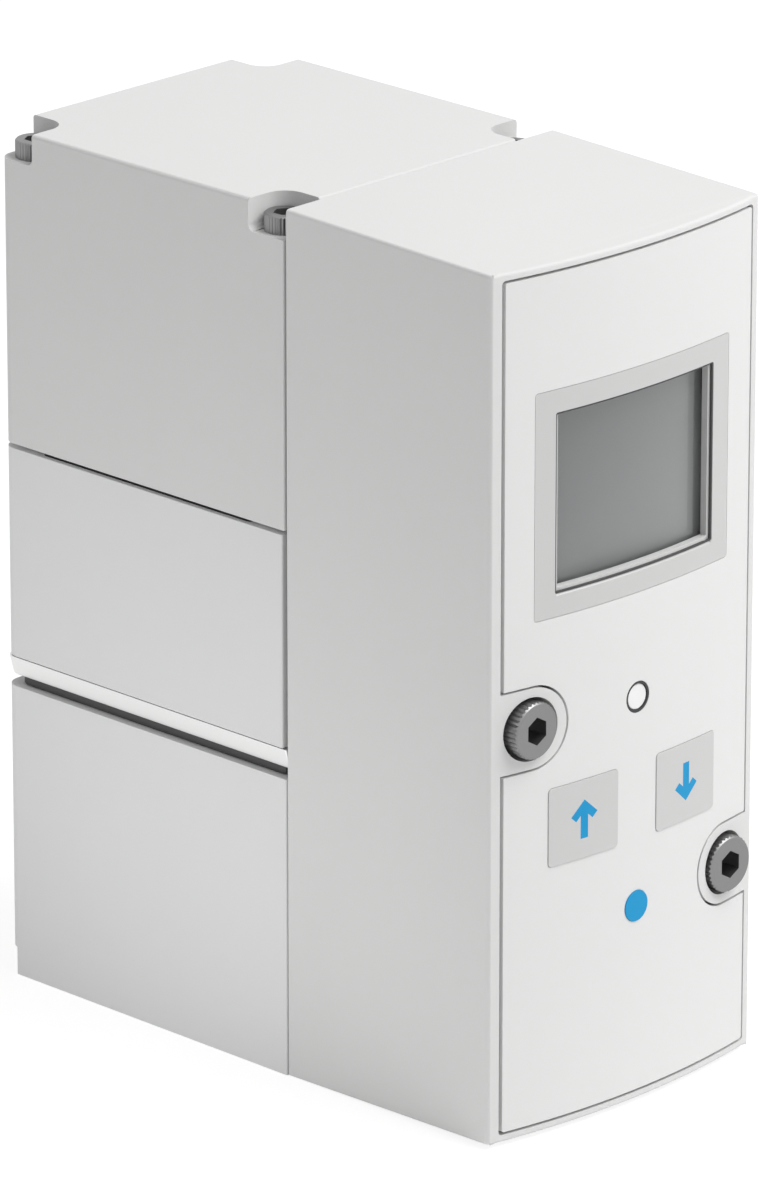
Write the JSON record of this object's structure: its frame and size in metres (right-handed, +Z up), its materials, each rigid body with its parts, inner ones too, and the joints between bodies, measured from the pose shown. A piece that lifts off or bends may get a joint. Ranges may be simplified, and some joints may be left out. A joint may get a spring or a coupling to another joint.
{
  "type": "electro pneumatic regulator",
  "caption": "Box-shaped proportional pressure regulator: stacked valve body, front housing with display and press keys, female ports and round plug connector.",
  "frame": {"origin": "on the standing face, midway across the width and midway between the bulged front panel and the end of the plug connector", "axes": "+X to the right seen from the front, +Y to the back, +Z up"},
  "size_m": [0.045, 0.095, 0.108],
  "materials": {
    "shell_plastic": "moulded, fine satin",
    "body_coating": "light grey satin coating on die-cast metal",
    "band_metal": "pale coated plate",
    "panel_plastic": "smooth satin",
    "bezel_plastic": "satin",
    "key_rubber": "soft matte",
    "key_blue": "satin",
    "seal_rubber": "matte",
    "screw_steel": "plain steel with a knurled head",
    "lens_plastic": "clear, smooth",
    "display_glass": "dark grey, smooth",
    "lamp_plastic": "milky",
    "board": "printed board",
    "black_plastic": "moulded",
    "brass": "turned or sintered",
    "nickel": "turned, nickel plated"
  },
  "bodies": {
    "housing": {"lower_block": "body_coating", "base_gasket": "seal_rubber", "intermediate_plate": "band_metal", "middle_block": "body_coating", "upper_seal": "seal_rubber", "top_cover": "shell_plastic", "front_shell": "shell_plastic", "shell_gasket": "seal_rubber", "front_panel": "panel_plastic", "display_bezel": "bezel_plastic", "display_lens": "lens_plastic", "display_module": "display_glass", "status_light_guide": "lamp_plastic", "up_switch": "black_plastic", "down_switch": "black_plastic", "edit_switch": "black_plastic", "key_board": "board", "main_board": "board", "valve_board": "board", "pin_board": "board", "board_header": "black_plastic", "front_screw_left": "screw_steel", "front_screw_right": "screw_steel", "cover_screw_1": "screw_steel", "cover_screw_2": "screw_steel", "cover_screw_3": "screw_steel", "cover_screw_4": "screw_steel", "base_screw_1": "screw_steel", "base_screw_2": "screw_steel", "base_screw_3": "screw_steel", "base_screw_4": "screw_steel", "pilot_manifold": "black_plastic", "pilot_valve_supply": "black_plastic", "pilot_valve_exhaust": "black_plastic", "pressure_sensor": "nickel", "poppet_spring": "screw_steel", "bottom_plug": "nickel", "plug_seal": "seal_rubber", "exhaust_filter": "brass", "connector_shell": "nickel", "connector_nut": "nickel", "connector_insert": "black_plastic", "contact_pin_1": "brass", "contact_pin_2": "brass", "contact_pin_3": "brass", "contact_pin_4": "brass", "contact_pin_5": "brass"},
    "up_key": {"up_key": "key_rubber"},
    "down_key": {"down_key": "key_rubber"},
    "edit_key": {"edit_key": "key_blue"},
    "piston": {"regulating_piston": "nickel", "piston_seal": "seal_rubber"},
    "poppet": {"valve_poppet": "brass", "poppet_seal": "seal_rubber"}
  },
  "joints": [
    {"name": "up_key_press", "type": "slide", "parent": "housing", "child": "up_key", "axis": [0, 1, 0], "range_m": [0, 0.00035], "stiffness_N_per_m": 500},
    {"name": "down_key_press", "type": "slide", "parent": "housing", "child": "down_key", "axis": [0, 1, 0], "range_m": [0, 0.00035], "stiffness_N_per_m": 500},
    {"name": "edit_key_press", "type": "slide", "parent": "housing", "child": "edit_key", "axis": [0, 1, 0], "range_m": [0, 0.00035], "stiffness_N_per_m": 500},
    {"name": "piston_stroke", "type": "slide", "parent": "housing", "child": "piston", "axis": [0, 0, -1], "range_m": [0, 0.001], "stiffness_N_per_m": 800},
    {"name": "poppet_stroke", "type": "slide", "parent": "housing", "child": "poppet", "axis": [0, 0, -1], "range_m": [0, 0.001], "deforming": ["poppet_spring"]}
  ],
  "couplings": [
    {"joint": "poppet_stroke", "follows": "piston_stroke", "ratio": 1}
  ]
}
